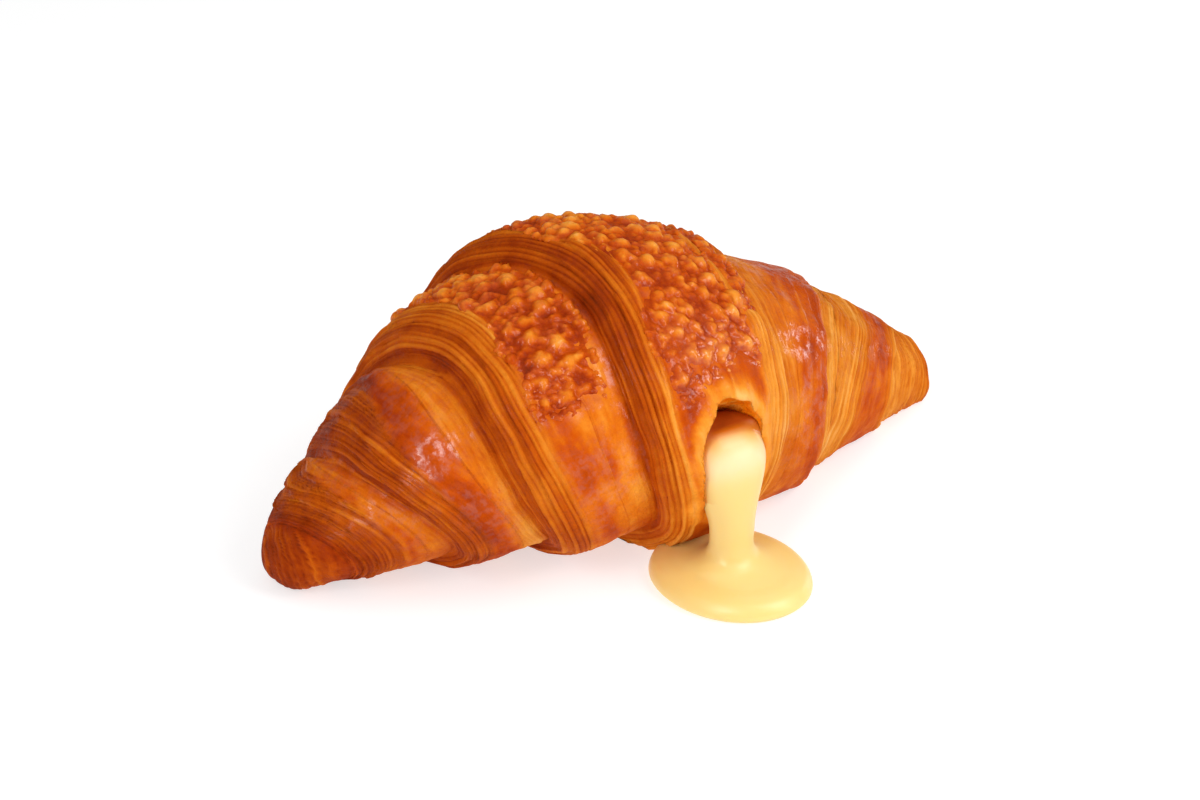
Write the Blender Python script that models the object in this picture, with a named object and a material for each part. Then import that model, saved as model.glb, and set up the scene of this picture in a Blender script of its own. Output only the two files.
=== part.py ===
"""A baked croissant topped with melted cheese nodules. Its cheese filling runs out of a hole in the front.

X runs along the roll, the front faces -Y and Z is up. The croissant lies on z = 0.
Sizes are in millimetres until an object is built, and angles round the roll run from the top to the front.
"""

import math
import random

import bpy
import bmesh
import numpy as np
from mathutils import Matrix, Vector

MM = 0.001

# Middle of the whole part's outline seen from above, which becomes the origin.
OUTLINE_CENTRE = (3.7, -7.98)

# Stations along the roll, with the radius that the dough would have without steps, and the height of its
# centre.
STATIONS = (-79.2, -52.8, -26.4, 0.0, 27.2, 56.0, 87.6)
ENVELOPE = (26.3, 35.9, 38.6, 37.7, 33.9, 26.5, 14.9)
CENTRE_HEIGHT = (5.1, 22.5, 30.9, 31.3, 23.3, 15.5, 5.3)

# The crescent: how far the roll bends back from a straight line.
BEND_STATIONS = (-79.2, -49.9, 0.0, 52.7, 87.6)
BEND = (13.6, 2.0, 0.0, 9.1, 11.3)

# The dough's section is a little wider than it is tall, with a flat base.
WIDE = 1.04
TALL = 0.96

# Distance of each seam from the middle at its front, foot, back and crown, and its lean between them.
FRONT = math.radians(58)
CROWN = math.radians(-32)
LEFT_SEAMS = (
    (18.3, 8.2, 36.2, 29.6, 4.8),
    (39.8, 27.2, 53.9, 57.2, 4.7),
    (57.3, 45.8, 67.6, 69.9, -0.4),
    (70.5, 63.3, 74.9, 76.7, -2.3),
)
RIGHT_SEAMS = (
    (18.4, 9.0, 37.0, 37.6, 5.0),
    (38.3, 41.0, 54.8, 58.4, -3.5),
    (58.8, 50.7, 61.7, 65.0, -5.3),
    (71.0, 69.0, 73.9, 77.0, -2.9),
)

# Each seam's step: its depth, the width of the rounded wall above it at the front, and what the crown adds.
# A wall never takes more than its largest share of a band. What the crown adds fades with the crown's power.
LEFT_STEPS = ((6.1, 4.4, 11.0), (5.6, 6.0, 5.5), (4.2, 5.3, 6.0), (1.0, 7.5, 0.0))
RIGHT_STEPS = ((3.5, 8.0, 6.0), (2.1, 8.0, 3.0), (0.4, 9.0, 0.0), (0.8, 4.0, 0.0))
WALL_LARGEST_SHARE = 0.85
CROWN_POWER = 4
WALL_ROUNDNESS = 1.9

# Length over which each tip rounds off.
LEFT_CAP = 7.7
RIGHT_CAP = 2.2

# Each wall shows the cut edges of the thin dough layers, like shingles.
LAYER_EDGES = (0.0, 0.2, 0.5, 1.0)
LAYER_STEP = 0.6
LAYER_FADE = 0.05

# The grid of the skin: lines over each band's crest and over each tip, rows round the roll, and the width of
# the bottom of a seam and of a layer's edge, the last two as shares of the wall.
LEFT_CREST_LINES = (6, 3, 3, 2)
RIGHT_CREST_LINES = (5, 3, 2, 2)
LEFT_TIP_SHARES = (0, 0.35, 0.65, 0.85, 0.96)
RIGHT_TIP_SHARES = (0, 0.4, 0.75, 0.93)
ANGLES = 36
SEAM_GAP = 0.35
SEAM_ROUND = 0.035
EDGE_ROUND = 0.006

# The baked cheese: nodules that lie apart by a share of their summed radii, and are sunk into the dough.
# Each gets so many tries at a free place between the two distances from the middle.
NODULE_SEED = 11
NODULE_TRIES = 60
NODULES = 104
NODULE_SPACING = 0.84
NODULE_RADIUS = (2.1, 3.5)
NODULE_STRETCH = (0.9, 1.15)
NODULE_FLATNESS = 0.62
NODULE_SINK = 0.9
NODULE_FROM = -50
NODULE_TO = 36

# Where the baked cheese lies: its reach round the roll, what it leaves free along the edges of the bands, and
# what it leaves free round the hole.
TOPPED_FROM = math.radians(-82)
CENTRE_TOPPED_TO = math.radians(66)
SIDE_TOPPED_TO = math.radians(60)
EDGE_FREE = 1.5
RIGHT_FREE = 2.5
FRONT_FREE = 4.0
HOLE_FREE = 6.0
HOLE_FREE_FROM = math.radians(54)

# The hole in the front: centre height, half height and half width of its section at each depth. Its sections
# are ovals with fuller corners than an ellipse, which would have a bluntness of 2.
HOLE_X = 3.6
HOLE_BLUNTNESS = 2.7
HOLE_SIDES = 24
HOLE_DEPTHS = (-50, -44, -38, -35, -32, -29, -20, -8, 0)
HOLE_SECTIONS = (
    (-50.0, 30.0, 14.4, 7.8),
    (-38.0, 30.0, 13.6, 7.4),
    (-35.0, 29.5, 12.6, 7.2),
    (-32.0, 28.5, 10.2, 7.0),
    (-29.0, 27.8, 8.2, 6.8),
    (-20.0, 29.5, 7.5, 6.6),
    (-8.0, 32.0, 7.0, 6.4),
    (0.0, 33.0, 6.4, 6.0),
)

# Depths of the filling's sections inside the hole, and the height of its surface at each depth.
FILL_DEPTHS = (0, -8, -20, -27, -29, -32, -34.5, -36.5)
CHEESE_LEVEL = (
    (-50.0, 36.0),
    (-38.0, 36.4),
    (-35.0, 37.2),
    (-32.0, 38.0),
    (-28.0, 39.5),
    (-25.0, 44.0),
    (0.0, 44.0),
)
LEVEL_CROWN = 0.1

# The filling's core inside the roll.
CORE_CENTRE = (2.0, 1.0, 33.0)
CORE_RADII = (33.0, 9.0, 7.2)

# The cheese that runs out: depth and height of each section's outer and inner side, and its half width. The
# first section is as blunt as the hole, and each next one is less so.
STREAM = (
    ((-38.4, 36.2), (-36.6, 17.8), 7.0),
    ((-40.2, 34.6), (-36.2, 17.6), 6.9),
    ((-41.8, 31.8), (-35.8, 17.2), 6.7),
    ((-42.8, 27.6), (-35.2, 16.6), 6.3),
    ((-43.4, 22.6), (-34.8, 15.6), 5.7),
    ((-43.4, 18.0), (-34.6, 13.8), 5.1),
    ((-43.3, 14.0), (-34.6, 11.8), 4.75),
    ((-43.2, 10.8), (-34.4, 9.8), 4.75),
    ((-43.7, 8.4), (-33.6, 8.0), 5.5),
    ((-45.4, 6.8), (-31.8, 6.6), 7.6),
)
BLUNTNESS_LOSS = 0.2
STREAM_SIDES = 24

# The puddle: an oval turned about the vertical, and the height of each ring of its rim with its share of it.
PUDDLE_CENTRE = (4.4, -37.55)
PUDDLE_RADII = (15.6, 18.2)
PUDDLE_TURN = math.radians(17)
PUDDLE_CENTRED_AT = 0.9
PUDDLE_RIM = ((5.2, 0.66), (4.5, 0.82), (3.5, 0.93), (2.2, 0.987), (1.0, 1.0), (0.0, 0.95))

# Clearance between the cheese and the dough: of the core and the opening, of the filling in the hole, and
# outside the hole.
GAP = 0.32
FILL_INSET = 0.36
CUT_GAP = 0.5
CUT_FLOOR = -2.0

# Colours, roughness and coat of the two materials, and the angle from which an edge is drawn sharp.
DOUGH_LOOK = ((0.56, 0.17, 0.022), 0.42, 0.25)
CHEESE_LOOK = ((0.97, 0.76, 0.3), 0.3, 0.3)
DOUGH_SHARP = 40
CHEESE_SHARP = 50


def clear_scene():
    for obj in list(bpy.data.objects):
        bpy.data.objects.remove(obj, do_unlink=True)


def spline(stations, values, x):
    """Natural cubic spline through the values at the stations."""
    xs = np.array(stations, float)
    ys = np.array(values, float)
    count = len(xs)
    gaps = np.diff(xs)
    matrix = np.eye(count)
    right = np.zeros(count)
    for i in range(1, count - 1):
        matrix[i, i - 1 : i + 2] = gaps[i - 1], 2 * (gaps[i - 1] + gaps[i]), gaps[i]
        right[i] = 6 * ((ys[i + 1] - ys[i]) / gaps[i] - (ys[i] - ys[i - 1]) / gaps[i - 1])
    curve = np.linalg.solve(matrix, right)
    i = np.clip(np.searchsorted(xs, x) - 1, 0, count - 2)
    after = x - xs[i]
    before = xs[i + 1] - x
    bent = (curve[i] * before**3 + curve[i + 1] * after**3) / (6 * gaps[i])
    start = (ys[i] / gaps[i] - curve[i] * gaps[i] / 6) * before
    end = (ys[i + 1] / gaps[i] - curve[i + 1] * gaps[i] / 6) * after
    return bent + start + end


def seam_at(values, angle):
    """Distance of a seam from the middle: a smooth closed line through its four named places."""
    front, foot, back, crown, lean = values
    turn = angle - FRONT
    mean = (front + foot + back + crown) / 4
    once = (front - back) / 2 * np.cos(turn) + (foot - crown) / 2 * np.sin(turn)
    twice = (front - foot + back - crown) / 4 * np.cos(2 * turn) + lean * np.sin(2 * turn)
    return mean + once + twice


def wall_width(front, extra, angle):
    """A wall is widest at the crown."""
    return front + extra * ((1 + np.cos(angle - CROWN)) / 2) ** CROWN_POWER


def shoulder(share):
    """Rises from 0 at a seam to 1 on the crest, as a rounded edge does."""
    share = np.clip(share, 0, 1)
    return (1 - (1 - share) ** WALL_ROUNDNESS) ** (1 / WALL_ROUNDNESS)


def layer_relief(share):
    """Steps of the dough layers over a wall: each rises at its outer edge and falls away inwards."""
    relief = np.zeros_like(share)
    for low, high in zip(LAYER_EDGES[:-1], LAYER_EDGES[1:]):
        inside = (share >= low) & (share < high)
        relief = np.where(inside, LAYER_STEP * (0.5 - (share - low) / (high - low)), relief)
    return relief * np.clip(share / LAYER_FADE, 0, 1)


def dough_radius(x, angle):
    radius = spline(STATIONS, ENVELOPE, x)
    for side, seams, steps in ((-1, LEFT_SEAMS, LEFT_STEPS), (1, RIGHT_SEAMS, RIGHT_STEPS)):
        for values, (depth, front, extra) in zip(seams, steps):
            share = (seam_at(values, angle) - side * x) / wall_width(front, extra, angle)
            radius = radius - depth * (1 - shoulder(share)) + layer_relief(share)
    to_end = np.where(x < 0, x - STATIONS[0], STATIONS[-1] - x)
    cap = np.where(x < 0, LEFT_CAP, RIGHT_CAP)
    share = np.clip(to_end / cap, 0, 1)
    return radius * np.sqrt(1 - (1 - share) ** 2)


def on_dough(x, angle, radius, floor=0.0):
    """Point at that radius from the roll's bent centre line, no lower than the floor."""
    back = spline(BEND_STATIONS, BEND, x)
    slope = (spline(BEND_STATIONS, BEND, x + 0.1) - spline(BEND_STATIONS, BEND, x - 0.1)) / 0.2
    length = np.sqrt(1 + slope**2)
    sideways = -radius * np.sin(angle) * WIDE
    height = spline(STATIONS, CENTRE_HEIGHT, x) + radius * np.cos(angle) * TALL
    return np.stack([x - sideways * slope / length, back + sideways / length, np.maximum(height, floor)], -1)


def wall_columns():
    """Shares of a wall at which the grid has a line: both sides of each layer's edge."""
    shares = [0.0, SEAM_ROUND]
    for edge in LAYER_EDGES[1:-1]:
        shares += [edge - EDGE_ROUND, edge + EDGE_ROUND]
    return np.array(shares + [1.0])


def side_columns(seams, steps, crest_lines, end, tip_shares, angle):
    """Distances from the middle of the grid's lines on one side, from the middle to the tip."""
    lines = []
    inner = 0.0
    for values, (_, front, extra), crest in zip(seams, steps, crest_lines):
        edge = seam_at(values, angle)
        wall = min(wall_width(front, extra, angle), WALL_LARGEST_SHARE * (edge - inner))
        lines += list(np.linspace(inner, edge - wall, crest, endpoint=False))
        lines += list((edge - wall * wall_columns())[::-1])
        inner = edge + SEAM_GAP
    lines += [inner + (end - inner) * share for share in tip_shares]
    return lines


def dough_grid():
    """Positions along the roll of every grid line, at each angle."""
    rows = []
    for angle in np.arange(ANGLES) * 2 * math.pi / ANGLES:
        left = side_columns(LEFT_SEAMS, LEFT_STEPS, LEFT_CREST_LINES, -STATIONS[0], LEFT_TIP_SHARES, angle)
        right_end = STATIONS[-1]
        right = side_columns(RIGHT_SEAMS, RIGHT_STEPS, RIGHT_CREST_LINES, right_end, RIGHT_TIP_SHARES, angle)
        rows.append([-x for x in left[:0:-1]] + right)
    return np.array(rows).T


def mesh_object(name, bm):
    mesh = bpy.data.meshes.new(name)
    bmesh.ops.recalc_face_normals(bm, faces=bm.faces)
    bm.to_mesh(mesh)
    bm.free()
    obj = bpy.data.objects.new(name, mesh)
    bpy.context.scene.collection.objects.link(obj)
    return obj


def lofted(name, rings, start=None, end=None):
    """A closed skin over rings of points in millimetres, with a point or a flat cap at each end."""
    bm = bmesh.new()
    rows = [[bm.verts.new(Vector(p) * MM) for p in ring] for ring in rings]
    count = len(rings[0])
    for first, second in zip(rows[:-1], rows[1:]):
        for i in range(count):
            j = (i + 1) % count
            bm.faces.new((first[i], first[j], second[j], second[i]))
    for ring, pole in ((rows[0], start), (rows[-1], end)):
        if pole is None:
            bm.faces.new(ring)
            continue
        tip = bm.verts.new(Vector(pole) * MM)
        for i in range(count):
            bm.faces.new((ring[i], ring[(i + 1) % count], tip))
    return mesh_object(name, bm)


def dough_skin(name, extra=0.0, floor=0.0):
    """The croissant's outer skin, grown by extra outwards and along the roll."""
    grid = dough_grid()
    angles = np.broadcast_to(np.arange(ANGLES) * 2 * math.pi / ANGLES, grid.shape)
    shifts = (-extra, 0.0, extra)
    radius = np.max([dough_radius(grid + shift, angles) for shift in shifts], axis=0) + extra
    points = on_dough(grid, angles, radius, floor)
    ends = []
    for x in (STATIONS[0], STATIONS[-1]):
        centre = on_dough(np.array(x), np.array(0.0), np.array(0.0), floor)
        ends.append(centre + np.array([math.copysign(extra, x), 0, 0]))
    return lofted(name, points.tolist(), ends[0].tolist(), ends[1].tolist())


def ellipsoid(name, centre, radii, lines=13, sides=14):
    angles = np.linspace(0, 2 * math.pi, sides, endpoint=False)
    rings = []
    for along in np.linspace(-math.pi / 2, math.pi / 2, lines)[1:-1]:
        x = centre[0] + radii[0] * math.sin(along)
        y = centre[1] + radii[1] * math.cos(along) * np.sin(angles)
        z = centre[2] + radii[2] * math.cos(along) * np.cos(angles)
        rings.append([(x, a, b) for a, b in zip(y, z)])
    start = (centre[0] - radii[0], centre[1], centre[2])
    end = (centre[0] + radii[0], centre[1], centre[2])
    return lofted(name, rings, start, end)


def blunt(value, bluntness):
    """A sine or cosine bent so that the oval drawn with it has fuller corners."""
    return np.sign(value) * np.abs(value) ** (2 / bluntness)


def hole_rings(inset, depths, level=None, sides=HOLE_SIDES):
    """Sections of the hole at the given depths, made smaller by inset and cut off at the cheese's level."""
    table = np.array(HOLE_SECTIONS)
    angles = np.linspace(0, 2 * math.pi, sides, endpoint=False)
    rings = []
    for y in depths:
        height, tall, wide = (np.interp(y, table[:, 0], table[:, i]) for i in (1, 2, 3))
        x = HOLE_X + (wide - inset) * blunt(np.sin(angles), HOLE_BLUNTNESS)
        z = height + (tall - inset) * blunt(np.cos(angles), HOLE_BLUNTNESS)
        if level:
            top = np.interp(y, [p[0] for p in level], [p[1] for p in level])
            z = np.minimum(z, top + LEVEL_CROWN * np.cos(angles))
        rings.append([(a, y, b) for a, b in zip(x, z)])
    return rings


def combine(target, operation, others):
    """Joins the other shapes to the target or cuts them from it, then removes them."""
    group = bpy.data.collections.new(target.name + "_" + operation.lower())
    bpy.context.scene.collection.children.link(group)
    for obj in others:
        for old in list(obj.users_collection):
            old.objects.unlink(obj)
        group.objects.link(obj)
    modifier = target.modifiers.new(operation.title(), "BOOLEAN")
    modifier.operation = operation
    modifier.operand_type = "COLLECTION"
    modifier.collection = group
    modifier.solver = "EXACT"
    apply_modifiers(target)
    for obj in list(group.objects):
        bpy.data.objects.remove(obj, do_unlink=True)
    bpy.data.collections.remove(group)


def apply_modifiers(obj):
    graph = bpy.context.evaluated_depsgraph_get()
    mesh = bpy.data.meshes.new_from_object(obj.evaluated_get(graph))
    old = obj.data
    obj.modifiers.clear()
    obj.data = mesh
    bpy.data.meshes.remove(old)


def keep_largest_piece(obj):
    """Drops loose scraps and fills the hollows that joining has sealed, so that one closed skin is left."""
    bm = bmesh.new()
    bm.from_mesh(obj.data)
    unseen = set(bm.verts)
    pieces = []
    while unseen:
        stack = [unseen.pop()]
        piece = set(stack)
        while stack:
            for edge in stack.pop().link_edges:
                for vert in edge.verts:
                    if vert in unseen:
                        unseen.remove(vert)
                        piece.add(vert)
                        stack.append(vert)
        pieces.append(piece)
    pieces.sort(key=len)
    for piece in pieces[:-1]:
        bmesh.ops.delete(bm, geom=list(piece), context="VERTS")
    bmesh.ops.triangulate(bm, faces=bm.faces)
    bm.to_mesh(obj.data)
    bm.free()


def topped(x, angle):
    """True where baked cheese lies: on the middle band's crest and on the crest of the band to its left."""
    inner = seam_at(LEFT_SEAMS[0], angle)
    outer = seam_at(LEFT_SEAMS[1], angle)
    centre_low = wall_width(*LEFT_STEPS[0][1:], angle) - inner + EDGE_FREE
    centre_high = seam_at(RIGHT_SEAMS[0], angle) - RIGHT_FREE
    if centre_low < x < centre_high:
        over_hole = angle > HOLE_FREE_FROM and x > HOLE_X - HOLE_FREE
        return angle < CENTRE_TOPPED_TO and not over_hole
    side_low = wall_width(*LEFT_STEPS[1][1:], angle) - outer + EDGE_FREE
    side_high = -inner - EDGE_FREE - FRONT_FREE * max(0.0, math.sin(angle))
    return side_low < x < side_high and angle < SIDE_TOPPED_TO


def nodules():
    """Flattened lumps of baked cheese, largest first, scattered by a seeded draw that keeps them apart."""
    draw = random.Random(NODULE_SEED)
    sizes = sorted((draw.uniform(*NODULE_RADIUS) for _ in range(NODULES)), reverse=True)
    placed = []
    lumps = []
    for size in sizes:
        for _ in range(NODULE_TRIES):
            x = draw.uniform(NODULE_FROM, NODULE_TO)
            angle = draw.uniform(TOPPED_FROM, CENTRE_TOPPED_TO)
            if not topped(x, angle):
                continue
            here = np.array([x]), np.array([angle])
            radius = dough_radius(*here)
            point = on_dough(*here, radius - NODULE_SINK)[0]
            if any(np.linalg.norm(point - p) < NODULE_SPACING * (size + r) for p, r in placed):
                continue
            placed.append((point, size))
            outward = point - on_dough(*here, radius / 2)[0]
            lumps.append(nodule(len(lumps), point, outward, size, draw))
            break
    return lumps


def nodule(index, point, outward, size, draw):
    bm = bmesh.new()
    bmesh.ops.create_icosphere(bm, subdivisions=1, radius=size * MM)
    length = draw.uniform(*NODULE_STRETCH)
    width = draw.uniform(*NODULE_STRETCH)
    flat = Matrix.Diagonal((length, width, NODULE_FLATNESS, 1))
    spin = Matrix.Rotation(draw.uniform(0, 2 * math.pi), 4, "Z")
    upright = Vector(outward).to_track_quat("Z", "Y").to_matrix().to_4x4()
    move = Matrix.Translation(Vector(point) * MM)
    bmesh.ops.transform(bm, matrix=move @ upright @ flat @ spin, verts=bm.verts)
    return mesh_object(f"nodule_{index}", bm)


def stream_rings():
    """Sections of the cheese from inside the roll, out of the hole, down to the table and round the pool."""
    rings = hole_rings(FILL_INSET, FILL_DEPTHS, CHEESE_LEVEL, STREAM_SIDES)
    angles = np.linspace(0, 2 * math.pi, STREAM_SIDES, endpoint=False)
    for number, (outer, inner, half_width) in enumerate(STREAM):
        bluntness = max(2.0, HOLE_BLUNTNESS - BLUNTNESS_LOSS * number)
        outer = np.array(outer)
        inner = np.array(inner)
        middle = (outer + inner) / 2
        ring = []
        for a in angles:
            y, z = middle + (outer - inner) / 2 * blunt(math.cos(a), bluntness)
            ring.append((HOLE_X + half_width * blunt(math.sin(a), bluntness), y, z))
        rings.append(ring)
    along = Vector((math.cos(PUDDLE_TURN), math.sin(PUDDLE_TURN)))
    across = Vector((math.sin(PUDDLE_TURN), -math.cos(PUDDLE_TURN)))
    start = Vector((HOLE_X, middle[0]))
    for z, share in PUDDLE_RIM:
        centre = start.lerp(Vector(PUDDLE_CENTRE), min(1.0, share / PUDDLE_CENTRED_AT))
        ring = []
        for a in angles - PUDDLE_TURN:
            reach = along * PUDDLE_RADII[0] * math.sin(a) + across * PUDDLE_RADII[1] * math.cos(a)
            ring.append((centre.x + share * reach.x, centre.y + share * reach.y, z))
        rings.append(ring)
    return rings


def make_croissant():
    dough = dough_skin("croissant")
    combine(dough, "UNION", nodules())
    hole = lofted("hole", hole_rings(0.0, HOLE_DEPTHS))
    core = ellipsoid("core_space", CORE_CENTRE, CORE_RADII)
    combine(dough, "DIFFERENCE", [hole, core])
    keep_largest_piece(dough)
    return dough


def make_cheese():
    cheese = lofted("cheese_filling", stream_rings())
    clearance = dough_skin("dough_clearance", CUT_GAP, floor=CUT_FLOOR)
    opening = lofted("opening", hole_rings(GAP, HOLE_DEPTHS))
    combine(clearance, "DIFFERENCE", [opening])
    combine(cheese, "DIFFERENCE", [clearance])
    keep_largest_piece(cheese)
    combine(cheese, "UNION", [ellipsoid("core", CORE_CENTRE, [r - GAP for r in CORE_RADII])])
    keep_largest_piece(cheese)
    return cheese


def material(name, colour, roughness, coat):
    made = bpy.data.materials.new(name)
    made.use_nodes = True
    shader = made.node_tree.nodes["Principled BSDF"]
    shader.inputs["Base Color"].default_value = (*colour, 1)
    shader.inputs["Roughness"].default_value = roughness
    shader.inputs["Metallic"].default_value = 0.0
    shader.inputs["Coat Weight"].default_value = coat
    return made


def finish(obj, made, sharp):
    obj.data.transform(Matrix.Translation((-OUTLINE_CENTRE[0] * MM, -OUTLINE_CENTRE[1] * MM, 0)))
    obj.data.materials.clear()
    obj.data.materials.append(made)
    obj.data.shade_smooth()
    obj.data.set_sharp_from_angle(angle=math.radians(sharp))


clear_scene()
croissant = make_croissant()
cheese_filling = make_cheese()
finish(croissant, material("baked_dough", *DOUGH_LOOK), DOUGH_SHARP)
finish(cheese_filling, material("melted_cheese", *CHEESE_LOOK), CHEESE_SHARP)
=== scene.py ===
"""Looks for the cheese croissant: a finely layered crust, baked crumbs of cheese and cheese that runs out.

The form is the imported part's own, in millimetres from the middle of the roll, with X along the roll, the
front facing -Y and Z up. Angles round the roll are 0 at the top and grow towards the front.
"""

from math import cos, pi, radians, sin, sqrt

import bmesh
import bpy
import numpy as np
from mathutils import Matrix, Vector, kdtree


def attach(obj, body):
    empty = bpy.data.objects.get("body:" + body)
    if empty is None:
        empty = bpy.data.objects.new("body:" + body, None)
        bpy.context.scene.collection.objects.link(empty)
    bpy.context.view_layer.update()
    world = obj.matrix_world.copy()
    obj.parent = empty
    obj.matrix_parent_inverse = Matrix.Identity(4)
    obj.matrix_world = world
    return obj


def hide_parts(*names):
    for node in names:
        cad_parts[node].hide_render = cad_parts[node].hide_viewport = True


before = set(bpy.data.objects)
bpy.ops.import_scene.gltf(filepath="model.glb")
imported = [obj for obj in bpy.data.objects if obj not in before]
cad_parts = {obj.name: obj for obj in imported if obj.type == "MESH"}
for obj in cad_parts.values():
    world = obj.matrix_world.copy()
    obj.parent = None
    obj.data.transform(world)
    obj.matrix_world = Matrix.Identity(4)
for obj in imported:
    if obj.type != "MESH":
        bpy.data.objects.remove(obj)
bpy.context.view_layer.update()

MM = 0.001
TURN = 2 * pi
# The middle of the whole part's outline, in millimetres from the middle of the roll.
OUTLINE_CENTRE = np.array((3.7, -7.98, 0.0))

# The roll's radius and the height of its centre line at each station, and how far back it bends at others.
STATIONS = (-79.2, -52.8, -26.4, 0.0, 27.2, 56.0, 87.6)
ENVELOPE = (26.3, 35.9, 38.6, 37.7, 33.9, 26.5, 14.9)
CENTRE_HEIGHT = (5.1, 22.5, 30.9, 31.3, 23.3, 15.5, 5.3)
BEND_STATIONS = (-79.2, -49.9, 0.0, 52.7, 87.6)
BEND = (13.6, 2.0, 0.0, 9.1, 11.3)
SLOPE_REACH = 0.1
WIDE = 1.04
TALL = 0.96

# Each seam's distance from the middle at its front, foot, back and crown, and its lean between them.
FRONT, CROWN = np.radians((58, -32))
LEFT_SEAMS = (
    (18.3, 8.2, 36.2, 29.6, 4.8),
    (39.8, 27.2, 53.9, 57.2, 4.7),
    (57.3, 45.8, 67.6, 69.9, -0.4),
    (70.5, 63.3, 74.9, 76.7, -2.3),
)
RIGHT_SEAMS = (
    (18.4, 9.0, 37.0, 37.6, 5.0),
    (38.3, 41.0, 54.8, 58.4, -3.5),
    (58.8, 50.7, 61.7, 65.0, -5.3),
    (71.0, 69.0, 73.9, 77.0, -2.9),
)

# The step at each seam: its depth, its wall's width, and how much wider the wall is at the crown.
LEFT_STEPS = ((6.1, 4.4, 11.0), (5.6, 6.0, 5.5), (4.2, 5.3, 6.0), (1.0, 7.5, 0.0))
RIGHT_STEPS = ((3.5, 8.0, 6.0), (2.1, 8.0, 3.0), (0.4, 9.0, 0.0), (0.8, 4.0, 0.0))
CROWN_POWER = 4
SHOULDER_POWER = 1.9
LEFT_CAP = 7.7
RIGHT_CAP = 2.2

# Lines of the fine grid on each crest and wall, from the middle out, and its rows round the roll.
LEFT_PLAN = ((34, 58), (30, 50), (30, 44), (16, 34))
LEFT_TIP = 36
RIGHT_PLAN = ((34, 40), (34, 30), (30, 34), (18, 16))
RIGHT_TIP = 44
SEAM_GAP = 0.3
TIP_GAP = 0.02
TIP_POWER = 1.5
WALL_MOST = 0.85
WALL_TURN = 0.45
SEEN_FROM, SEEN_TO = np.radians((-75, 135))
SEEN_ROWS = 108
HIDDEN_ROWS = 44

# The hole, by depth: height of its middle, and its reach up and down and to each side.
HOLE_X = 3.2
HOLE_SECTIONS = (
    (-50.0, 30.0, 14.4, 8.6), (-38.0, 30.0, 13.6, 8.2), (-35.0, 29.5, 12.6, 7.8),
    (-32.0, 28.5, 10.2, 7.2), (-29.0, 27.8, 8.2, 6.8), (-20.0, 29.5, 7.5, 6.6), (-8.0, 32.0, 7.0, 6.4),
    (0.0, 33.0, 6.4, 6.0),
)
HOLE_CUT = (-50, 0, 60)
HOLE_SIDES = 72
HOLE_ANGLES = np.linspace(0, TURN, HOLE_SIDES, endpoint=False)
HOLE_BLUNT = 2.3
HOLE_ROUGH = ((0.05, 31, 5.0), (0.03, 32, 2.0))
MOUTH = -36.5

# The cheese fills the hole a little more than full, to its level at each depth, and joins the core.
FILL_INSET = -0.25
LEVEL_ROUND = 1.8
CHEESE_LEVEL = (
    (-50.0, 36.0), (-38.0, 36.4), (-35.0, 37.2), (-32.0, 38.0), (-28.0, 39.5), (-25.0, 44.0), (0.0, 44.0),
)
CORE_CENTRE = (2.0, 1.0, 33.0)
CORE_RADII = (33.0, 9.0, 7.2)
CORE_GAP = 0.32
CORE_LINES = 40

# The stream's sections on its way down: outer and inner place as (Y, Z), and half the width.
COLUMN_X = 3.6
STREAM = (
    ((-38.4, 36.2), (-36.6, 17.8), 8.5), ((-40.2, 34.6), (-36.2, 17.6), 8.3),
    ((-41.8, 31.8), (-35.8, 17.2), 7.6), ((-42.8, 27.6), (-35.2, 16.6), 6.7),
    ((-43.2, 22.6), (-34.8, 15.6), 5.7), ((-43.4, 18.0), (-34.6, 13.8), 4.95),
    ((-43.3, 14.0), (-34.6, 11.8), 4.75), ((-43.2, 10.8), (-34.4, 9.8), 4.75),
    ((-43.7, 8.4), (-33.6, 8.0), 5.5), ((-45.4, 6.8), (-31.8, 6.6), 7.6),
)
STREAM_BLUNT = 0.6
BLUNT_FALL = 0.2
COLUMN_FROM = 4

# The pool. Its rim is given by height and share of the radii.
POOL_CENTRE = (4.4, -37.55)
POOL_RADII = (15.6, 18.2)
POOL_TURN = radians(17)
POOL_RIM = ((5.2, 0.66), (4.5, 0.82), (3.5, 0.93), (2.2, 0.987), (1.0, 1.0), (0.0, 0.95))
POOL_SHIFTED = 0.9
FLOW_DEPTHS = (0, -8, -20, -27, -29, -32, -34.5, MOUTH)
FLOW_RINGS = 190

# A random field is a sum of this many waves, whose lengths spread round its size.
WAVE_COUNT = 12
WAVE_SPREAD = (0.6, 1.6)

# Points closer than this many millimetres are joined after a cut.
WELD = 0.007
SLIVER_ROUNDS = 2


def spline(stations, values, x):
    """Natural cubic spline through the values at the stations."""
    xs, ys = np.array(stations), np.array(values)
    count = len(xs)
    gaps = np.diff(xs)
    slopes = np.diff(ys) / gaps
    matrix = np.eye(count)
    right = np.zeros(count)
    for i in range(1, count - 1):
        matrix[i, i - 1 : i + 2] = gaps[i - 1], 2 * (gaps[i - 1] + gaps[i]), gaps[i]
        right[i] = 6 * (slopes[i] - slopes[i - 1])
    curve = np.linalg.solve(matrix, right)
    i = np.clip(np.searchsorted(xs, x) - 1, 0, count - 2)
    after = x - xs[i]
    before = xs[i + 1] - x
    bent = (curve[i] * before**3 + curve[i + 1] * after**3) / (6 * gaps[i])
    start = (ys[i] / gaps[i] - curve[i] * gaps[i] / 6) * before
    end = (ys[i + 1] / gaps[i] - curve[i + 1] * gaps[i] / 6) * after
    return bent + start + end


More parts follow.
